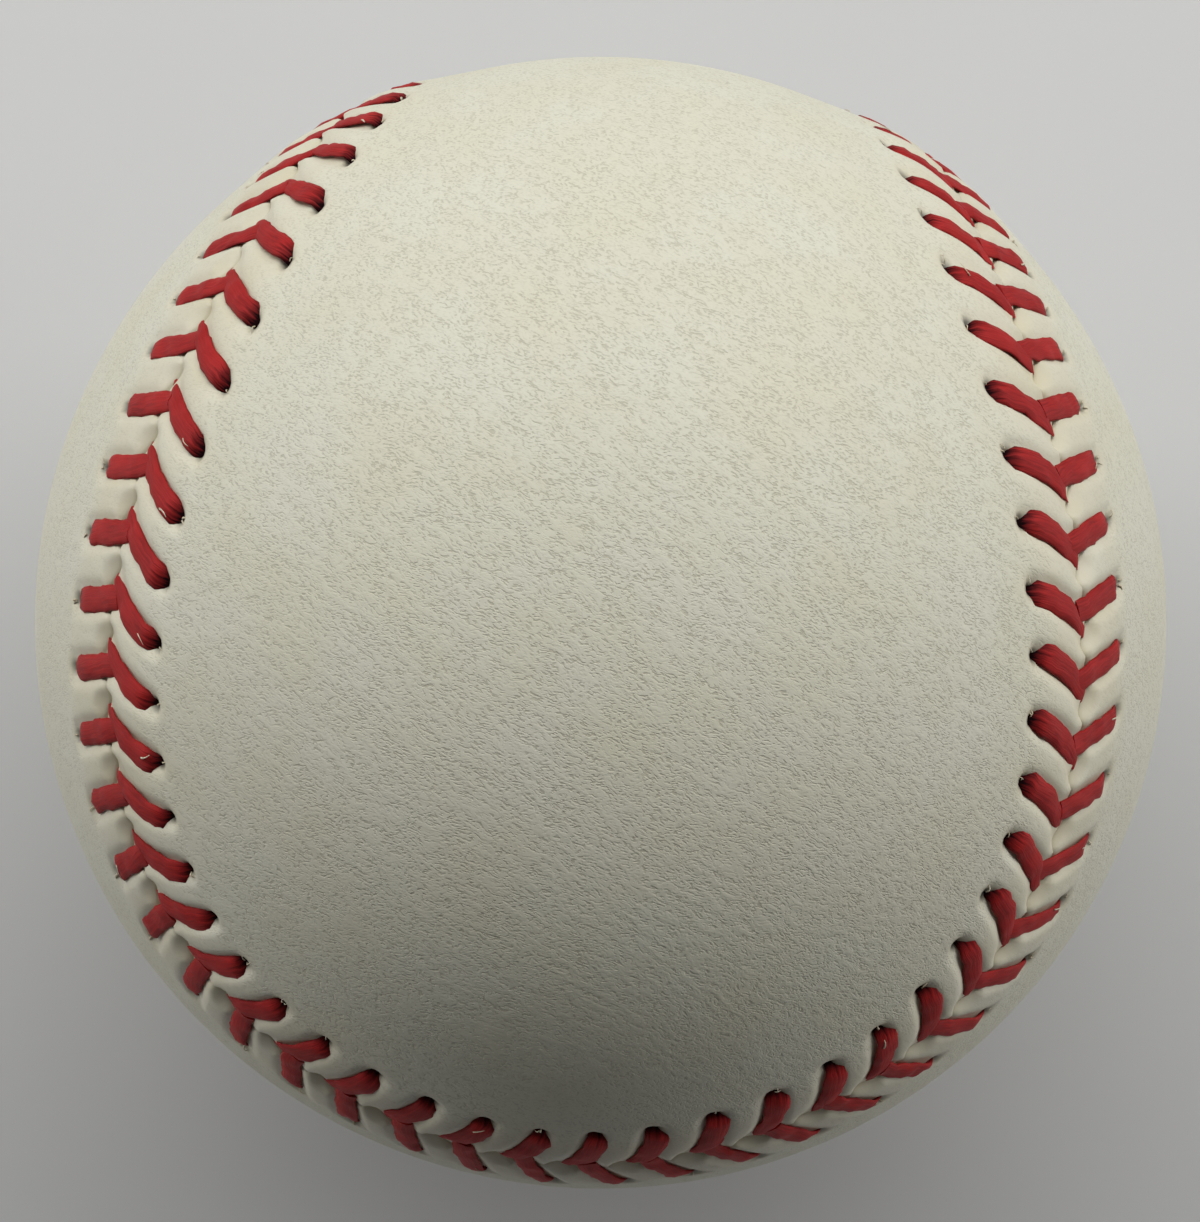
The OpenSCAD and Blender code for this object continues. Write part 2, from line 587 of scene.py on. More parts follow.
def loop_faces(row_a, row_b):
    """Faces between two closed rows, where row_b has as many points or half as many."""
    n = len(row_a)
    if len(row_b) == n:
        return [(row_a[i], row_a[(i + 1) % n], row_b[(i + 1) % n], row_b[i]) for i in range(n)]
    faces = []
    for k in range(n // 2):
        a, b, c = row_a[2 * k], row_a[2 * k + 1], row_a[(2 * k + 2) % n]
        d, e = row_b[k], row_b[(k + 1) % (n // 2)]
        faces += [(a, b, d), (b, e, d), (b, c, e)]
    return faces


def turn_over(points):
    """Panel B's points in panel A's place, and back: half a turn about a point of the seam."""
    return np.stack([-points[:, 2], -points[:, 1], -points[:, 0]], axis=1)


def flatten(points):
    """Panel A's unit vectors on a plane, keeping angles."""
    across = np.arcsin(np.clip(points[:, 0], -1, 1))
    along = np.arctan2(points[:, 2], points[:, 1])
    return np.stack([along, np.log(np.tan(math.pi / 4 + across / 2))], axis=1)


def inside(flat, loop):
    """Which flat points lie inside a closed flat loop."""
    x, y = flat[:, :1], flat[:, 1:]
    x0, y0 = loop[:, 0], loop[:, 1]
    x1, y1 = np.roll(x0, -1), np.roll(y0, -1)
    crosses = (y0 > y) != (y1 > y)
    with np.errstate(divide="ignore", invalid="ignore"):
        at = x0 + (y - y0) * (x1 - x0) / (y1 - y0)
    return (np.sum(crosses & (x < at), axis=1) % 2) == 1


def even_dots(spacing):
    """Unit vectors in a spiral over the whole ball, about this far apart on the cover."""
    count = int(4 * math.pi * COVER_R ** 2 / (CELL_AREA * spacing ** 2))
    k = np.arange(count) + 0.5
    z = 1 - 2 * k / count
    swirl = k * math.pi * (3 - math.sqrt(5))
    r = np.sqrt(1 - z * z)
    return np.stack([r * np.cos(swirl), r * np.sin(swirl), z], axis=1)


def fill_loop(loop_dirs, spacing):
    """Evenly spread unit vectors inside a loop of panel A, and triangles over loop and inner points."""
    dots = even_dots(spacing)
    dots = dots[np.abs(dots[:, 0]) < MAP_LIMIT]
    dots = dots[inside(flatten(dots), flatten(loop_dirs))]
    clear = np.max(dots @ loop_dirs.T, axis=1) < math.cos(EDGE_ROOM * spacing / COVER_R)
    dots = dots[clear]
    flat = np.concatenate([flatten(loop_dirs), flatten(dots)])
    n = len(loop_dirs)
    edges = [(i, (i + 1) % n) for i in range(n)]
    result = delaunay_2d_cdt([Vector(p) for p in flat], edges, [], 0, 1e-9, True)
    source = np.array([ids[0] for ids in result[3]])
    faces = source[np.array(result[2])]
    kept = inside(flat[faces].mean(axis=1), flat[:n])
    return dots, faces[kept].tolist()


def mesh_object(name, points, faces, numbers):
    """A mesh object on the scene, with named numbers at its points."""
    mesh = bpy.data.meshes.new(name)
    mesh.from_pydata(points.tolist(), [], faces)
    for label, values in numbers.items():
        attribute = mesh.attributes.new(label, "FLOAT", "POINT")
        attribute.data.foreach_set("value", values.astype(np.float32))
    piece = bpy.data.objects.new(name, mesh)
    bpy.context.scene.collection.objects.link(piece)
    return piece


class PanelMesh:
    """Points and faces of one panel, gathered row by row from the seam to the middle."""

    def __init__(self, side, seam):
        self.side = side
        self.seam = seam
        self.points = []
        self.faces = []
        # The hole mark is the share of painted shade in the stitch holes
        self.marks = {"stain": [], "hole": [], "fibre": []}

    def add(self, points, **marks):
        """Adds points and returns their numbers. A mark that isn't given is 0."""
        first = sum(len(p) for p in self.points)
        self.points.append(points)
        for label, values in self.marks.items():
            values.append(np.broadcast_to(marks.get(label, 0.0), len(points)))
        return list(range(first, first + len(points)))

    def close(self, rows, radius, spacing):
        """Joins rows, each its points' numbers and directions, by faces and fills the last one."""
        for (row_a, _), (row_b, _) in zip(rows, rows[1:]):
            self.faces += loop_faces(row_a, row_b)
        row, dirs = rows[-1]
        dots, faces = fill_loop(dirs if self.side > 0 else turn_over(dirs), spacing)
        dots = dots if self.side > 0 else turn_over(dots)
        numbers = row + self.add(dots * radius)
        self.faces += [tuple(numbers[i] for i in face) for face in faces]

    def to_object(self, name):
        """A closed, smooth mesh object that carries the marks."""
        marks = {label: np.concatenate(values) for label, values in self.marks.items()}
        piece = mesh_object(name, np.concatenate(self.points), self.faces, marks)
        work = bmesh.new()
        work.from_mesh(piece.data)
        bmesh.ops.recalc_face_normals(work, faces=work.faces)
        work.to_mesh(piece.data)
        work.free()
        piece.data.shade_smooth()
        return piece


def panel_object(name, side, settings):
    """One leather panel: rolled edge, pillows, stitch holes, smooth middle and underside."""
    seam = Seam(settings.seam)
    stitches = settings.seam.stitches
    lead, setback = leg_plan(settings.seam, side)[0]
    panel = PanelMesh(side, seam)
    rng = np.random.default_rng(PANEL_SEEDS[side])
    columns = np.arange(COLUMNS_PER_STITCH * stitches)
    stitch_share = columns / COLUMNS_PER_STITCH
    ahead = np.mod(stitch_share, 1.0) * seam.pitch
    s = stitch_share * seam.pitch + seam.first
    uneven = rng.normal(1.0, PILLOW_SPREAD, stitches)
    lift = np.interp(stitch_share, np.arange(stitches + 1), np.append(uneven, uneven[0]))
    swell = np.cos(2 * math.pi * (ahead - SWELL_PLACE * seam.pitch) / seam.pitch)

    def place(aside, picked):
        """Directions at a distance inside the edge, with the edge's swell."""
        wave = settings.leather.edge_wave * swell[picked] * np.exp(-aside / SWELL_FADE)
        return seam.spot(s[picked], side * (aside + HALF_GAP) - wave)

    fine = [*CREASE_ROWS, *np.arange(FINE_STEP, BAND_W + FINE_STEP / 2, FINE_STEP)]
    coarse = [(BAND_W + past, skip) for past, skip in ROWS_PAST_BAND]
    rows = []
    for aside, skip in [(distance, 1) for distance in fine] + coarse:
        picked = columns[::skip]
        at = np.full(len(picked), aside)
        share = aside / setback
        own = ahead[picked] - share * seam.sway(s[picked] - share * lead, side)
        # hole is the share of painted shade in the stitch hole
        height, stain, hole = leather_relief(settings, seam.pitch, side, own, ahead[picked], at)
        radius = COVER_R + np.where(height > 0, height * lift[picked], height)
        dirs = place(aside, picked)
        rows.append((panel.add(dirs * radius[:, None], stain=stain, hole=hole), dirs))
    panel.close(rows, COVER_R, MIDDLE_SPACING)

    under = [rows[0]]
    for aside, skip in UNDERSIDE_ROWS:
        dirs = place(aside, columns[::skip])
        under.append((panel.add(dirs * FLESH_R), dirs))
    panel.close(under, FLESH_R, UNDERSIDE_SPACING)
    add_flakes(panel, settings, rng)
    return panel.to_object(name)


def random_way(rng, turns):
    """A flat unit vector, (ahead, aside), at a turn between two."""
    turn = rng.uniform(*turns)
    return np.array([math.cos(turn), math.sin(turn)])


def add_flakes(panel, settings, rng):
    """Torn flakes of leather on the far rim of each hole, and now and then one on the thread."""
    seam = panel.seam
    hole = np.array(leg_plan(settings.seam, panel.side)[0])
    thread_top = of_side(settings.thread, "rise", panel.side) + settings.thread.thickness / 2
    for number in range(settings.seam.stitches):
        place = number * seam.pitch + seam.first
        middle = hole + (seam.sway(place, panel.side), 0)
        for _ in range(rng.integers(0, RIM_FLAKES_MOST + 1)):
            way = random_way(rng, RIM_TURNS)
            length = rng.uniform(*RIM_LENGTH)
            lift = rng.uniform(*RIM_LIFT)
            add_flake(panel, place, middle + RIM_R * way, way * length, RIM_HEIGHT, lift, rng)
        if rng.random() < LOOSE_SHARE:
            way = random_way(rng, LOOSE_TURNS) * rng.uniform(*LOOSE_LENGTH)
            start = middle - (LOOSE_BEHIND, rng.uniform(*LOOSE_INWARD)) - way / 2
            add_flake(panel, place, start, way, thread_top - LOOSE_SUNK, LOOSE_LIFT, rng)


def add_flake(panel, place, start, way, height, lift, rng):
    """One thin tapered flake that bows up by lift. Start and way are (ahead, aside) from a stitch."""
    t = np.linspace(0, 1, FLAKE_RINGS)
    curl = np.array([-way[1], way[0]]) * rng.uniform(-FLAKE_CURL, FLAKE_CURL)
    flat = start + t[:, None] * way + (t * t)[:, None] * curl
    radius = COVER_R + height + lift * 4 * t * (1 - t)
    middle = panel.seam.spot(place + flat[:, 0], panel.side * flat[:, 1]) * radius[:, None]
    ahead = np.gradient(middle, axis=0)
    ahead /= np.linalg.norm(ahead, axis=1, keepdims=True)
    across = np.cross(ahead, middle)
    across /= np.linalg.norm(across, axis=1, keepdims=True)
    up = np.cross(across, ahead)
    taper = (1 - FLAKE_TAPER * t)[:, None]
    wide = rng.uniform(*FLAKE_WIDTH) * taper * across
    thick = FLAKE_THICKNESS * taper * up
    tone = rng.uniform(*FLAKE_TONE)
    rings = []
    for angle in np.arange(FLAKE_SIDES) * 2 * math.pi / FLAKE_SIDES:
        rings.append(panel.add(middle + math.cos(angle) * wide + math.sin(angle) * thick, fibre=tone))
    for a, b in zip(rings, rings[1:] + rings[:1]):
        panel.faces += [(a[i], b[i], b[i + 1], a[i + 1]) for i in range(FLAKE_RINGS - 1)]
    panel.faces.append(tuple(r[0] for r in reversed(rings)))
    panel.faces.append(tuple(r[-1] for r in rings))


class Nodes:
    """Short ways to add and join the nodes of one tree."""

    def __init__(self, tree):
        self.tree = tree

    def set(self, node, inputs):
        """Sets a node's inputs, or joins those whose value is another node's output."""
        for key, value in inputs.items():
            if isinstance(value, bpy.types.NodeSocket):
                self.tree.links.new(value, node.inputs[key])
            else:
                node.inputs[key].default_value = value

    def add(self, kind, inputs=None, **options):
        """A node with its options set and its inputs set or joined."""
        node = self.tree.nodes.new(kind)
        for key, value in options.items():
            setattr(node, key, value)
        self.set(node, inputs or {})
        return node

    def math(self, operation, *values):
        """The result of a Math node."""
        return self.add("ShaderNodeMath", dict(enumerate(values)), operation=operation).outputs[0]

    def vector(self, operation, *values):
        """The vector result of a Vector Math node."""
        return self.add("ShaderNodeVectorMath", dict(enumerate(values)), operation=operation).outputs[0]

    def scaled(self, vector, scale):
        """A vector times a number."""
        return self.add("ShaderNodeVectorMath", {0: vector, "Scale": scale}, operation="SCALE").outputs[0]

    def dot(self, a, b):
        """The dot product of two vectors."""
        return self.add("ShaderNodeVectorMath", {0: a, 1: b}, operation="DOT_PRODUCT").outputs["Value"]

    def joined(self, **parts):
        """A vector from its X, Y and Z."""
        return self.add("ShaderNodeCombineXYZ", parts).outputs[0]

    def object_place(self):
        """A material's object coordinates."""
        return self.add("ShaderNodeTexCoord").outputs["Object"]

    def mark(self, name):
        """A material's named number of the mesh."""
        return self.add("ShaderNodeAttribute", attribute_name=name).outputs["Fac"]

    def noise(self, place, scale, detail=2.0):
        """The outputs of a Noise Texture."""
        return self.add("ShaderNodeTexNoise", {"Vector": place, "Scale": scale, "Detail": detail}).outputs

    def ramp(self, value, low, high):
        """The result of a grey Color Ramp between two stops, each (place, level)."""
        node = self.add("ShaderNodeValToRGB", {"Fac": value})
        for element, (place, level) in zip(node.color_ramp.elements, (low, high)):
            element.position = place
            element.color = (level, level, level, 1)
        return node.outputs["Color"]

    def curve(self, value, points):
        """The result of a Float Curve through the points."""
        node = self.add("ShaderNodeFloatCurve", {"Value": value})
        shape = node.mapping.curves[0]
        shape.points[0].location = points[0]
        shape.points[1].location = points[-1]
        for x, y in points[1:-1]:
            shape.points.new(x, y)
        node.mapping.update()
        return node.outputs[0]

    def mix(self, share, a, b):
        """Two colours mixed."""
        node = self.add("ShaderNodeMix", data_type="RGBA")
        a, b = (v if isinstance(v, bpy.types.NodeSocket) else (*v, 1) for v in (a, b))
        self.set(node, {0: share, 6: a, 7: b})
        return node.outputs[2]

    def bump(self, height, strength, distance):
        """The normal of a Bump node."""
        inputs = {"Height": height, "Strength": strength, "Distance": distance}
        return self.add("ShaderNodeBump", inputs).outputs[0]


def tinted(colour, shares):
    """A colour with its red, green and blue scaled."""
    return tuple(c * k for c, k in zip(colour, shares))


def new_material(name):
    """A material with an empty tree, its nodes helper and its shader."""
    material = bpy.data.materials.new(name)
    material.use_nodes = True
    material.node_tree.nodes.clear()
    nodes = Nodes(material.node_tree)
    shader = nodes.add("ShaderNodeBsdfPrincipled")
    nodes.add("ShaderNodeOutputMaterial", {"Surface": shader.outputs[0]})
    return material, nodes, shader


def leather_material(leather):
    """Cream cowhide: short slanting pores, fine pebbles, faint mottling, wax stains and painted shade in the
    stitch holes.
    """
    material, nodes, shader = new_material("cover_leather")
    place = nodes.object_place()
    wander = nodes.noise(place, 700.0)["Color"]
    place = nodes.vector("MULTIPLY_ADD", wander, (0.5 * MM,) * 3, place)

    def stretched_noise(degrees, cell, detail):
        """Noise in cells of this size, turned about Z."""
        turn = (0, 0, math.radians(degrees))
        cells = nodes.add(
            "ShaderNodeMapping", {"Vector": place, "Rotation": turn, "Scale": cell}, vector_type="TEXTURE"
        )
        return nodes.noise(cells.outputs[0], 1.0, detail)["Fac"]

    dashes = stretched_noise(-17, (0.22 * MM, 0.095 * MM, 0.18 * MM), 1.0)
    flow = stretched_noise(-38, (1.3 * MM, 0.42 * MM, 0.6 * MM), 1.5)
    mottle = nodes.noise(place, 190.0, 4.0)["Fac"]
    stain = nodes.mark("stain")
    taut = nodes.math("SUBTRACT", 1.0, stain)
    valley = nodes.ramp(flow, (0.46, 1.0), (0.62, 0.3))
    pores = nodes.math("MULTIPLY", nodes.ramp(dashes, (0.37, 1.0), (0.5, 0.0)), valley)
    pores = nodes.math("MULTIPLY", pores, taut)

    clean = tuple(leather.colour)
    yellowed = tinted(clean, (0.98, 0.965, 0.92))
    pore_colour = tinted(clean, (0.64, 0.61, 0.55))
    # Nearly black painted shade for the stitch holes
    hole_shade_colour = (0.012, 0.008, 0.007)
    fibre_colour = (0.6, 0.5, 0.34)
    colour = nodes.mix(nodes.ramp(mottle, (0.35, 0.0), (0.7, 1.0)), clean, yellowed)
    colour = nodes.mix(nodes.math("MULTIPLY", pores, 0.56), colour, pore_colour)
    stain_share = nodes.math("MULTIPLY", stain, nodes.math("ADD", 0.1, mottle))
    colour = nodes.mix(stain_share, colour, tuple(leather.stain))
    # Painted shade: the leather turns nearly black in and round each stitch hole
    colour = nodes.mix(nodes.mark("hole"), colour, hole_shade_colour)
    colour = nodes.mix(nodes.mark("fibre"), colour, fibre_colour)

    pebbles = nodes.math("MULTIPLY", flow, 0.9)
    relief = nodes.math("SUBTRACT", pebbles, nodes.math("MULTIPLY", pores, 0.45))
    normal = nodes.bump(relief, nodes.math("MULTIPLY", taut, 0.65), 0.07 * MM)
    rough = nodes.add("ShaderNodeMapRange", {"Value": taut, "To Min": 0.36, "To Max": 0.55}).outputs[0]
    nodes.set(shader, {"Base Color": colour, "Normal": normal, "Roughness": rough})
    shader.inputs["Specular IOR Level"].default_value = 0.4
    return material


def thread_material(thread):
    """Waxed red thread: plies along the leg with painted shade in the grooves between them, painted shade
    where the leg sinks into its hole, a dull shine.
    """
    material, nodes, shader = new_material("red_thread")
    along = nodes.mark("leg_along")
    around = nodes.mark("leg_around")
    vary = nodes.noise(nodes.object_place(), 420.0)["Fac"]
    twist = nodes.math("ADD", nodes.math("MULTIPLY", around, 42.0), nodes.math("MULTIPLY", along, 4.0))
    strand_place = nodes.joined(
        X=nodes.math("MULTIPLY", along, 3.0), Y=twist, Z=nodes.math("MULTIPLY", vary, 4.0)
    )
    strands = nodes.noise(strand_place, 1.0, 3.0)["Fac"]
    ragged = nodes.math("ADD", along, nodes.math("MULTIPLY", strands, 0.2))
    # Painted shade where the leg sinks into its hole: the last part of the leg turns nearly black
    dark = nodes.ramp(ragged, (0.21, 1.0), (0.36, 0.0))

    red = tuple(thread.colour)
    ply_groove_shade = tinted(red, (0.6, 0.5, 0.55))
    bright = tinted(red, (1.25, 1.35, 1.3))
    foot_shade_colour = (0.012, 0.004, 0.005)
    # Painted shade: the red darkens where the strands' relief lies low, in the grooves between plies
    colour = nodes.mix(nodes.ramp(strands, (0.3, 0.0), (0.65, 1.0)), ply_groove_shade, red)
    colour = nodes.mix(nodes.ramp(vary, (0.45, 0.0), (0.8, 0.6)), colour, bright)
    colour = nodes.mix(dark, colour, foot_shade_colour)
    shine = nodes.math("MULTIPLY", nodes.math("SUBTRACT", 1.0, dark), 0.16)
    normal = nodes.bump(strands, 0.35, 0.08 * MM)
    nodes.set(shader, {"Base Color": colour, "Normal": normal, "Specular IOR Level": shine})
    shader.inputs["Roughness"].default_value = 0.6
    return material


def add_sockets(tree, in_out, kind, names):
    """Named inputs or outputs of a geometry tree."""
    for name in names:
        tree.interface.new_socket(name=name, in_out=in_out, socket_type=kind)


def leg_tree():
    """A geometry group: one leg of thread, swept along its curve in the stitch's own axes."""
    tree = bpy.data.node_groups.new("stitch_leg", "GeometryNodeTree")
    add_sockets(tree, "INPUT", "NodeSocketFloat", LEG_INPUTS)
    add_sockets(tree, "OUTPUT", "NodeSocketGeometry", ["Leg"])
    nodes = Nodes(tree)
    size = nodes.add("NodeGroupInput").outputs

    def point(name):
        """A point of the leg's plan on the leather."""
        return nodes.joined(X=size[name + " Ahead"], Y=size[name + " Aside"])

    def remember(curve, name, value):
        """The curve with a number stored at its points."""
        return nodes.add(
            "GeometryNodeStoreNamedAttribute",
            {"Geometry": curve, "Name": name, "Value": value},
            data_type="FLOAT",
            domain="POINT",
        ).outputs[0]

    curve = nodes.add(
        "GeometryNodeCurveQuadraticBezier",
        {"Resolution": 12, "Start": point("Hole"), "Middle": point("Bend"), "End": point("Tail")},
    ).outputs[0]
    along = nodes.add("GeometryNodeSplineParameter").outputs["Factor"]
    back = nodes.math("SUBTRACT", 1.0, along)
    foot = nodes.math("MULTIPLY", size["Foot Depth"], nodes.math("POWER", back, 16.0))
    tail = nodes.math("MULTIPLY", size["Tail Depth"], nodes.math("POWER", along, 5.0))
    here = nodes.add("GeometryNodeInputPosition").outputs[0]
    fall = nodes.math("DIVIDE", nodes.dot(here, here), nodes.math("MULTIPLY", 2.0, size["Ball Radius"]))
    height = nodes.math("SUBTRACT", size["Rise"], foot)
    height = nodes.math("SUBTRACT", height, nodes.math("ADD", tail, fall))
    offset = nodes.joined(Z=height)
    curve = nodes.add("GeometryNodeSetPosition", {"Geometry": curve, "Offset": offset}).outputs[0]
    curve = nodes.add("GeometryNodeSetCurveNormal", {"Curve": curve}, mode="Z_UP").outputs[0]

    pointed = nodes.curve(along, ((0.0, 0.9), (0.25, 1.0), (0.5, 1.0), (0.75, 0.82), (1.0, 0.14)))
    blunt = nodes.curve(along, ((0.0, 0.95), (0.25, 1.0), (0.6, 1.0), (1.0, 0.9)))
    taper = nodes.add(
        "ShaderNodeMix", {0: size["Blunt"], 2: pointed, 3: blunt}, data_type="FLOAT"
    ).outputs[0]
    curve = nodes.add("GeometryNodeSetCurveRadius", {"Curve": curve, "Radius": taper}).outputs[0]
    curve = remember(curve, "leg_along", along)

    plies = {"Points": 6, "Inner Radius": 0.95, "Outer Radius": 1.0}
    section = nodes.add("GeometryNodeCurveStar", plies).outputs[0]
    around = nodes.add("GeometryNodeSplineParameter").outputs["Factor"]
    section = remember(section, "leg_around", around)
    half = nodes.joined(
        X=nodes.math("DIVIDE", size["Width"], 2.0), Y=nodes.math("DIVIDE", size["Thickness"], 2.0), Z=1.0
    )
    section = nodes.add("GeometryNodeTransform", {"Geometry": section, "Scale": half}).outputs[0]
    scale = nodes.add("GeometryNodeInputRadius").outputs[0]
    leg = nodes.add(
        "GeometryNodeCurveToMesh",
        {"Curve": curve, "Profile Curve": section, "Scale": scale, "Fill Caps": True},
    ).outputs[0]
    leg = nodes.add("GeometryNodeSetShadeSmooth", {"Geometry": leg}).outputs[0]
    nodes.add("NodeGroupOutput", {"Leg": leg})
    return tree


def stitch_tree():
    """A geometry tree: a leg of thread at every stitch point, on the side that the point names."""
    tree = bpy.data.node_groups.new("stitch_row", "GeometryNodeTree")
    add_sockets(tree, "INPUT", "NodeSocketGeometry", ["Geometry"])
    for side in ("A", "B"):
        add_sockets(tree, "INPUT", "NodeSocketFloat", [f"{name} {side}" for name in LEG_INPUTS])
    add_sockets(tree, "INPUT", "NodeSocketFloat", ["Unevenness", "Fuzz"])
    add_sockets(tree, "INPUT", "NodeSocketInt", ["Seed"])
    add_sockets(tree, "INPUT", "NodeSocketMaterial", ["Material"])
    add_sockets(tree, "OUTPUT", "NodeSocketGeometry", ["Geometry"])
    nodes = Nodes(tree)
    size = nodes.add("NodeGroupInput").outputs
    leg_group = leg_tree()

    def named(name, kind):
        """A named value of the stitch points."""
        return nodes.add("GeometryNodeInputNamedAttribute", {"Name": name}, data_type=kind).outputs[0]

    def uneven(low, high, shift):
        """A random vector for each stitch, from the tree's own seed."""
        seed = nodes.math("ADD", size["Seed"], float(shift))
        return nodes.add(
            "FunctionNodeRandomValue", {0: low, 1: high, "Seed": seed}, data_type="FLOAT_VECTOR"
        ).outputs[0]

    def moved(geometry, offset):
        """The geometry with its points moved."""
        return nodes.add("GeometryNodeSetPosition", {"Geometry": geometry, "Offset": offset}).outputs[0]

    outward = named("outward", "FLOAT_VECTOR")
    ahead = named("ahead", "FLOAT_VECTOR")
    side = named("side", "FLOAT")
    turn = nodes.add(
        "FunctionNodeAxesToRotation",
        {"Primary Axis": outward, "Secondary Axis": ahead},
        primary_axis="Z",
        secondary_axis="X",
    ).outputs[0]
    rows = nodes.add("GeometryNodeJoinGeometry")
    for label, test in (("A", "GREATER_THAN"), ("B", "LESS_THAN")):
        sizes = {name: size[f"{name} {label}"] for name in LEG_INPUTS}
        leg = nodes.add("GeometryNodeGroup", sizes, node_tree=leg_group).outputs[0]
        legs = nodes.add(
            "GeometryNodeInstanceOnPoints",
            {
                "Points": size["Geometry"],
                "Selection": nodes.math(test, side, 0.0),
                "Instance": leg,
                "Rotation": turn,
                "Scale": uneven((0.98, 0.97, 0.9), (1.02, 1.03, 1.1), 1),
            },
        ).outputs[0]
        tilt = nodes.scaled((0, 0, 1), size["Unevenness"])
        untilt = nodes.scaled((0, 0, -1), size["Unevenness"])
        legs = nodes.add(
            "GeometryNodeRotateInstances", {"Instances": legs, "Rotation": uneven(untilt, tilt, 2)}
        ).outputs[0]
        tree.links.new(legs, rows.inputs[0])
    thread = nodes.add("GeometryNodeRealizeInstances", {"Geometry": rows.outputs[0]}).outputs[0]

    here = nodes.add("GeometryNodeInputPosition").outputs[0]
    aside = nodes.dot(here, nodes.vector("CROSS_PRODUCT", outward, ahead))
    aside = nodes.math("MAXIMUM", nodes.math("MULTIPLY", aside, side), 0.0)
    thread = moved(thread, nodes.scaled(ahead, nodes.math("MULTIPLY", aside, named("slant", "FLOAT"))))
    fuzz = nodes.add("ShaderNodeTexNoise", {"Scale": 1100.0, "Detail": 1.0}).outputs["Color"]
    fuzz = nodes.vector("SUBTRACT", fuzz, (0.5, 0.5, 0.5))
    thread = moved(thread, nodes.scaled(fuzz, size["Fuzz"]))
    finish = {"Geometry": thread, "Material": size["Material"]}
    nodes.add("NodeGroupOutput", {"Geometry": nodes.add("GeometryNodeSetMaterial", finish).outputs[0]})
    return tree


def set_input(modifier, name, value):
    """Sets a geometry modifier's input by the identifier of the socket with that name."""
    for item in modifier.node_group.interface.items_tree:
        if item.item_type == "SOCKET" and item.in_out == "INPUT" and item.name == name:
            modifier[item.identifier] = value
            return
    raise KeyError(name)


def stitch_points(name, first_side, settings):
    """One needle's stitch places: a point each, with its axes, its leg's panel and its leg's slant."""
    seam = Seam(settings.seam)
    number = np.arange(settings.seam.stitches)
    place = number * seam.pitch + seam.first
    outward, ahead, _ = seam.axes(place)
    side = np.where(number % 2 == 0, first_side, -first_side)
    slants = [seam.sway(place, panel) / of_side(settings.seam, "hole", panel)[1] for panel in (1, -1)]
    piece = mesh_object(name, outward * COVER_R, [], {"side": side, "slant": np.where(side > 0, *slants)})
    for label, values in (("outward", outward), ("ahead", ahead)):
        attribute = piece.data.attributes.new(label, "FLOAT_VECTOR", "POINT")
        attribute.data.foreach_set("vector", values.astype(np.float32).ravel())
    return piece


def apply_nodes(piece):
    """Turns a piece with a geometry modifier into a plain mesh."""
    evaluated = piece.evaluated_get(bpy.context.evaluated_depsgraph_get())
    mesh = bpy.data.meshes.new_from_object(evaluated)
    piece.modifiers.clear()
    old = piece.data
    piece.data = mesh
    bpy.data.meshes.remove(old)


def thread_object(name, first_side, tree, material, settings):
    """One needle's thread: its legs over both panels."""
    piece = stitch_points(name, first_side, settings)
    modifier = piece.modifiers.new("stitches", "NODES")
    modifier.node_group = tree
    thread = settings.thread
    for label, side in (("A", 1), ("B", -1)):
        values = {
            "Rise": of_side(thread, "rise", side),
            "Foot Depth": thread.foot_depth,
            "Tail Depth": of_side(thread, "tail_depth", side),
            "Width": thread.width,
            "Thickness": thread.thickness,
            "Blunt": 0.0 if side > 0 else 1.0,
            "Ball Radius": COVER_R,
        }
        for point, (ahead, aside) in zip(("Hole", "Bend", "Tail"), leg_plan(settings.seam, side)):
            values[point + " Ahead"] = ahead
            values[point + " Aside"] = side * aside
        for key, value in values.items():
            set_input(modifier, f"{key} {label}", float(value))
    set_input(modifier, "Unevenness", float(thread.unevenness))
    set_input(modifier, "Fuzz", float(thread.fuzz))
    set_input(modifier, "Seed", THREAD_SEEDS[first_side])
    set_input(modifier, "Material", material)
    apply_nodes(piece)
    return piece


def yarn_material(name, colour, turns):
    """Wound yarn: crossing bands of turns, with lighter and darker strands."""
    material, nodes, shader = new_material(name)
    place = nodes.object_place()
    bands = []
    for angle in ((0.3, 0.2, 0.0), (1.2, 0.5, 0.9)):
        turned = nodes.add("ShaderNodeMapping", {"Vector": place, "Rotation": angle}).outputs[0]
        wave = {"Vector": turned, "Scale": turns, "Distortion": 2.5, "Detail": 2.0}
        bands.append(nodes.add("ShaderNodeTexWave", wave).outputs["Fac"])
    patch = nodes.ramp(nodes.noise(place, 120.0)["Fac"], (0.47, 0.0), (0.53, 1.0))
    height = nodes.mix(patch, *bands)
    dark = tuple(c * 0.55 for c in colour)
    normal = nodes.bump(height, 0.6, 0.4 * MM)
    nodes.set(shader, {"Base Color": nodes.mix(height, dark, colour), "Normal": normal})
    shader.inputs["Roughness"].default_value = 0.9
    return material


def grain_material(name, colour, dark, grains, rough, relief):
    """Rubber, cement or cork: grains of two colours with a little relief."""
    material, nodes, shader = new_material(name)
    place = nodes.object_place()
    cells = nodes.add("ShaderNodeTexVoronoi", {"Vector": place, "Scale": grains}).outputs["Color"]
    speck = nodes.noise(place, grains * 2.2, 4.0)["Fac"]
    tone = nodes.add("ShaderNodeSeparateColor", {"Color": cells}).outputs[0]
    share = nodes.math("MULTIPLY", nodes.math("MULTIPLY", tone, speck), 1.6)
    normal = nodes.bump(speck, 0.4, relief)
    nodes.set(shader, {"Base Color": nodes.mix(share, dark, colour), "Normal": normal})
    shader.inputs["Roughness"].default_value = rough
    return material


def rubber_material(name, colour, dark):
    """Moulded rubber of the pill."""
    return grain_material(name, colour, dark, grains=900, rough=0.6, relief=0.1 * MM)


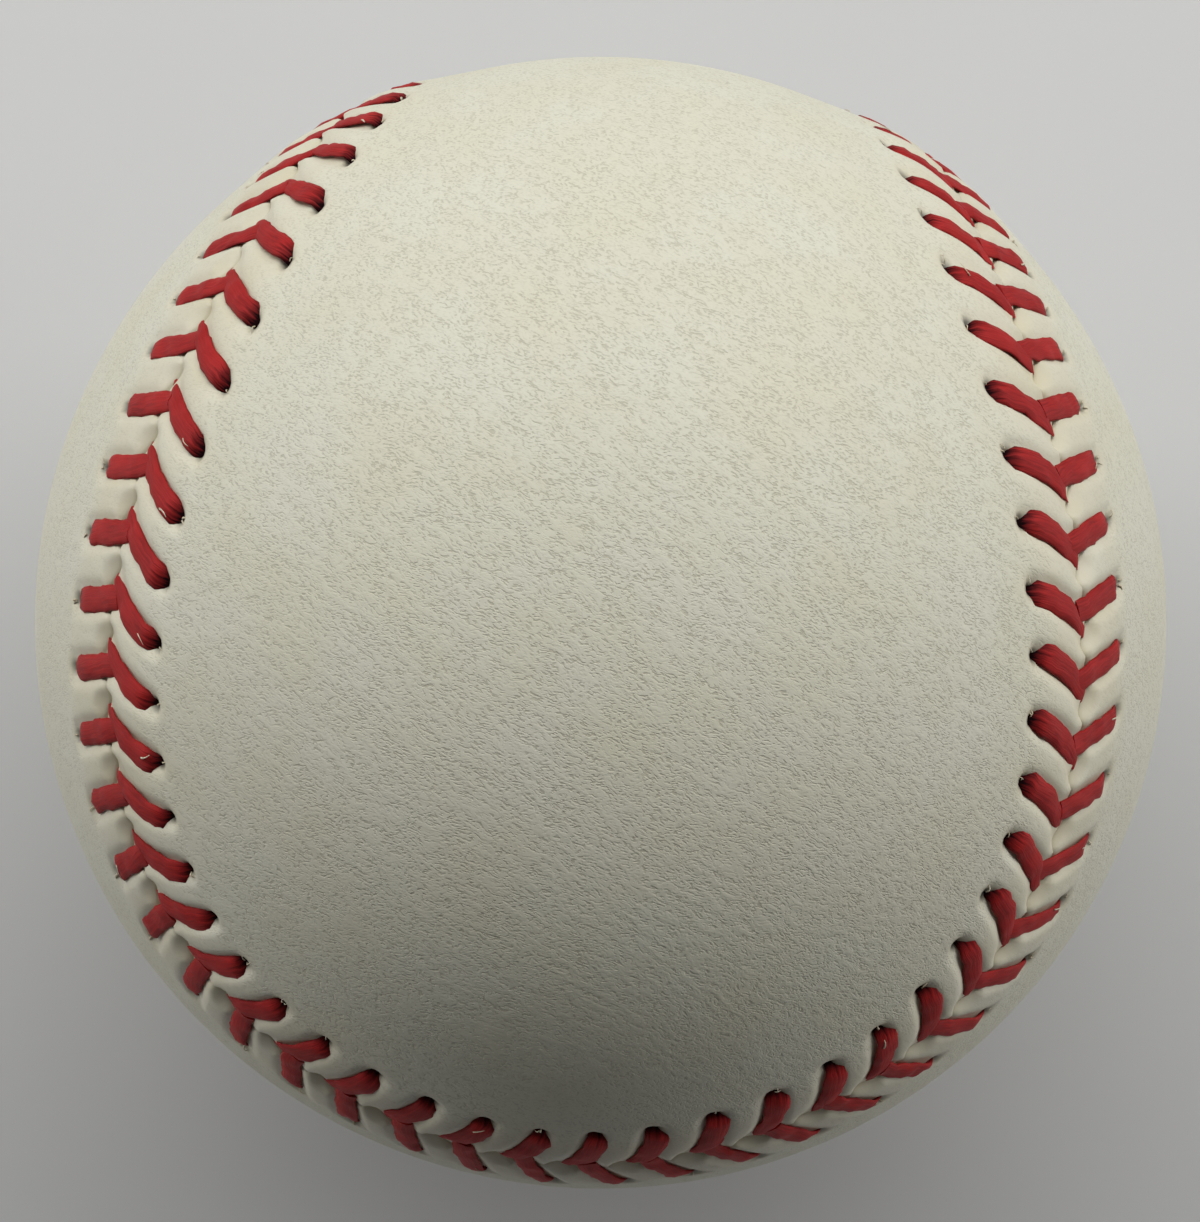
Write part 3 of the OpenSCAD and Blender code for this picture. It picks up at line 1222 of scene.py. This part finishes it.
def cork_material():
    """Composition cork: coarse light and dark grains."""
    return grain_material(
        "cork", (0.55, 0.35, 0.18), (0.2, 0.1, 0.045), grains=650, rough=0.85, relief=0.25 * MM
    )


def cement_material():
    """A film of dried rubber cement."""
    return grain_material(
        "cement", (0.66, 0.54, 0.33), (0.5, 0.39, 0.22), grains=400, rough=0.45, relief=0.08 * MM
    )


def seen_share(nodes):
    """1 for rays that the camera sees, straight or by gloss or glass, and 0 for the rest."""
    path = nodes.add("ShaderNodeLightPath").outputs
    share = nodes.math("MAXIMUM", path["Is Camera Ray"], path["Is Glossy Ray"])
    return nodes.math("MAXIMUM", share, path["Is Transmission Ray"])


def floor_material(stage):
    """Plain pale floor with a very faint mottle, which fades to the backdrop far from the ball."""
    material, nodes, shader = new_material("pale_floor")
    place = nodes.object_place()
    pale = tuple(stage.floor_colour)
    darker = tuple(c * 0.97 for c in pale)
    nodes.set(shader, {"Base Color": nodes.mix(nodes.noise(place, 40.0)["Fac"], darker, pale)})
    shader.inputs["Roughness"].default_value = 0.8
    away = nodes.add("ShaderNodeVectorMath", {0: place}, operation="LENGTH").outputs["Value"]
    far = nodes.add(
        "ShaderNodeMapRange",
        {"Value": away, "From Min": FADE_START, "From Max": FADE_END},
        interpolation_type="SMOOTHSTEP",
    ).outputs[0]
    backdrop = nodes.add("ShaderNodeEmission", {"Color": (*stage.backdrop_colour, 1)}).outputs[0]
    share = nodes.math("MULTIPLY", far, seen_share(nodes))
    surface = nodes.add("ShaderNodeMixShader", {0: share, 1: shader.outputs[0], 2: backdrop}).outputs[0]
    nodes.set(material.node_tree.nodes["Material Output"], {"Surface": surface})
    return material


def soft_world(stage):
    """A faint even light on the ball, and the backdrop's colour where the camera sees past the floor."""
    world = bpy.data.worlds.new("soft_light")
    world.use_nodes = True
    world.node_tree.nodes.clear()
    nodes = Nodes(world.node_tree)
    light = nodes.add("ShaderNodeBackground", {"Color": (1, 1, 1, 1), "Strength": stage.fill}).outputs[0]
    backdrop = nodes.add("ShaderNodeBackground", {"Color": (*stage.backdrop_colour, 1)}).outputs[0]
    surface = nodes.add("ShaderNodeMixShader", {0: seen_share(nodes), 1: light, 2: backdrop}).outputs[0]
    nodes.add("ShaderNodeOutputWorld", {"Surface": surface})
    return world


def add_lamp(scene, name, direction, power, size):
    """An oblong lamp that faces the middle of the ball."""
    lamp = bpy.data.lights.new(name, "AREA")
    lamp.energy = power
    lamp.shape = "RECTANGLE"
    lamp.size, lamp.size_y = size
    piece = bpy.data.objects.new(name, lamp)
    piece.location = direction.normalized() * LAMP_DISTANCE
    piece.visible_camera = False
    piece.rotation_mode = "QUATERNION"
    piece.rotation_quaternion = (-direction).to_track_quat("-Z", "Y")
    scene.collection.objects.link(piece)


def add_camera(scene, stage):
    """The camera, where the photograph was taken from."""
    data = bpy.data.cameras.new("camera")
    data.sensor_width = SENSOR
    data.lens = SENSOR * stage.camera_pixels / PHOTO_H
    data.shift_x = (PHOTO_W / 2 - BALL_PIXEL[0]) / PHOTO_H
    data.shift_y = (BALL_PIXEL[1] - PHOTO_H / 2) / PHOTO_H
    data.clip_start = CLIP_START
    camera = bpy.data.objects.new("camera", data)
    right = CAMERA_RIGHT.normalized()
    back = right.cross(CAMERA_UP).normalized()
    up = back.cross(right)
    turn = Matrix((right, up, back)).transposed()
    camera.matrix_world = Matrix.Translation(back * stage.camera_distance) @ turn.to_4x4()
    scene.collection.objects.link(camera)
    scene.camera = camera


class BALL_OT_cover(bpy.types.Operator):
    """Make the two leather panels"""

    bl_idname = "stitched_ball.cover"
    bl_label = "Leather Cover"

    def execute(self, context):
        settings = context.scene.stitched_ball
        material = leather_material(settings.leather)
        panels = (("leather_panel_a", "cover_panel_a", 1), ("leather_panel_b", "cover_panel_b", -1))
        for name, node, side in panels:
            piece = panel_object(name, side, settings)
            piece.data.materials.append(material)
            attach(piece, BODY)
            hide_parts(node)
        return {"FINISHED"}


class BALL_OT_thread(bpy.types.Operator):
    """Sew the red stitches, one piece for each needle"""

    bl_idname = "stitched_ball.thread"
    bl_label = "Red Stitches"

    def execute(self, context):
        settings = context.scene.stitched_ball
        material = thread_material(settings.thread)
        tree = stitch_tree()
        needles = (("red_thread_one", "thread_needle_one", 1), ("red_thread_two", "thread_needle_two", -1))
        for name, node, first_side in needles:
            piece = thread_object(name, first_side, tree, material, settings)
            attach(piece, BODY)
            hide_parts(node)
        return {"FINISHED"}


class BALL_OT_layers(bpy.types.Operator):
    """Finish the pill, the windings and the cement film inside the cover"""

    bl_idname = "stitched_ball.layers"
    bl_label = "Inner Layers"

    def execute(self, context):
        black = rubber_material("black_rubber", (0.022, 0.022, 0.024), (0.012, 0.012, 0.013))
        red = rubber_material("red_rubber", (0.36, 0.05, 0.04), (0.26, 0.03, 0.025))
        grey = yarn_material("grey_wool", (0.32, 0.32, 0.33), turns=320)
        finishes = {
            "cork_core": cork_material(),
            "core_shell_upper": black,
            "core_shell_lower": black,
            "core_washer": red,
            "pill_jacket": red,
            "first_winding": grey,
            "second_winding": yarn_material("white_wool", (0.74, 0.72, 0.66), turns=320),
            "third_winding": grey,
            "finish_winding": yarn_material("white_yarn", (0.78, 0.77, 0.72), turns=700),
            "cement_coat": cement_material(),
        }
        for node, material in finishes.items():
            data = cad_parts[node].data
            data.materials.clear()
            data.materials.append(material)
        return {"FINISHED"}


class BALL_OT_stage(bpy.types.Operator):
    """Set the floor, the lamps and the camera"""

    bl_idname = "stitched_ball.stage"
    bl_label = "Stage"

    def execute(self, context):
        scene = context.scene
        stage = scene.stitched_ball.stage
        bpy.ops.mesh.primitive_circle_add(
            vertices=FLOOR_SIDES, radius=FLOOR_R, fill_type="NGON", location=(0, 0, -COVER_R)
        )
        floor = context.object
        floor.name = "floor"
        floor.data.materials.append(floor_material(stage))

        add_lamp(scene, "key", KEY_DIRECTION, stage.key_power, (stage.key_width, stage.key_depth))
        side_size = (stage.side_width, stage.side_height)
        for number, direction in enumerate(SIDE_DIRECTIONS):
            add_lamp(scene, f"side_{number}", direction, stage.side_power, side_size)
        scene.world = soft_world(stage)
        add_camera(scene, stage)
        scene.view_settings.view_transform = "Standard"
        return {"FINISHED"}


class BallSettings(bpy.types.PropertyGroup):
    """All settings of the ball."""

    seam: bpy.props.PointerProperty(
        type=SeamSettings,
        name="Seam",
        description="Seam line and stitch places",
    )
    leather: bpy.props.PointerProperty(
        type=LeatherSettings,
        name="Leather",
        description="Cover leather",
    )
    thread: bpy.props.PointerProperty(
        type=ThreadSettings,
        name="Thread",
        description="Waxed thread",
    )
    stage: bpy.props.PointerProperty(
        type=StageSettings,
        name="Stage",
        description="Camera, lamps and floor",
    )


class BALL_PT_sidebar(bpy.types.Panel):
    """Buttons and settings of the ball"""

    bl_label = "Stitched Ball"
    bl_idname = "BALL_PT_sidebar"
    bl_space_type = "VIEW_3D"
    bl_region_type = "UI"
    bl_category = "Ball"

    def draw(self, context):
        settings = context.scene.stitched_ball
        for operator in OPERATORS:
            self.layout.operator(operator.bl_idname)
        for group in (settings.seam, settings.leather, settings.thread, settings.stage):
            box = self.layout.box()
            for name in group.bl_rna.properties.keys():
                if name not in ("rna_type", "name"):
                    box.prop(group, name)


OPERATORS = (BALL_OT_cover, BALL_OT_thread, BALL_OT_layers, BALL_OT_stage)
CLASSES = (
    SeamSettings,
    LeatherSettings,
    ThreadSettings,
    StageSettings,
    BallSettings,
    *OPERATORS,
    BALL_PT_sidebar,
)


def register():
    """Adds the classes and the scene's settings."""
    for cls in CLASSES:
        bpy.utils.register_class(cls)
    bpy.types.Scene.stitched_ball = bpy.props.PointerProperty(type=BallSettings)


def unregister():
    """Takes the settings and the classes away again."""
    del bpy.types.Scene.stitched_ball
    for cls in reversed(CLASSES):
        bpy.utils.unregister_class(cls)


def main():
    """Builds the dressed ball and its stage."""
    register()
    bpy.ops.stitched_ball.cover()
    bpy.ops.stitched_ball.thread()
    bpy.ops.stitched_ball.layers()
    bpy.ops.stitched_ball.stage()


if __name__ == "__main__":
    main()
